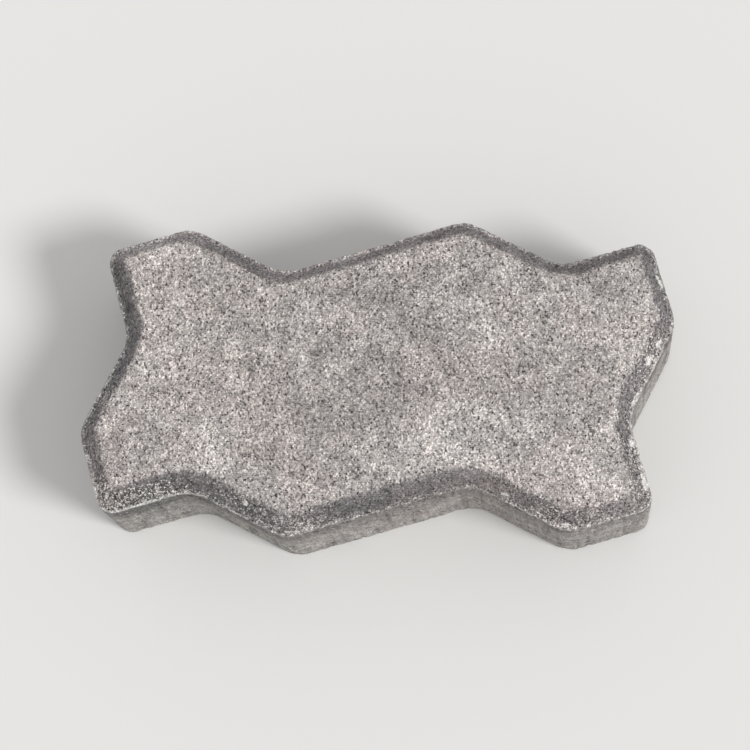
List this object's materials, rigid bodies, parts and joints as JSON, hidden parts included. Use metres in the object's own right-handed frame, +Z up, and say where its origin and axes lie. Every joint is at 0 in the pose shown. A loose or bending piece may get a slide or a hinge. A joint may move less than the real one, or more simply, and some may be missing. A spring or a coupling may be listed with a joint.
{
  "type": "interlocking concrete paving stone",
  "caption": "Zigzag-sided interlocking paving stone of pressed grey concrete, with a bevelled edge round its flat wearing face and a flat bed face.",
  "frame": {"origin": "centre of the flat bed face, on the level that the stone lies on", "axes": "+X along the stone's length, +Y across it, +Z up out of the wearing face"},
  "size_m": [0.2402, 0.1276, 0.06],
  "materials": {
    "concrete": "pressed sandy concrete, matt, weathered"
  },
  "bodies": {
    "root": {"paving_stone": "concrete"}
  },
  "joints": []
}
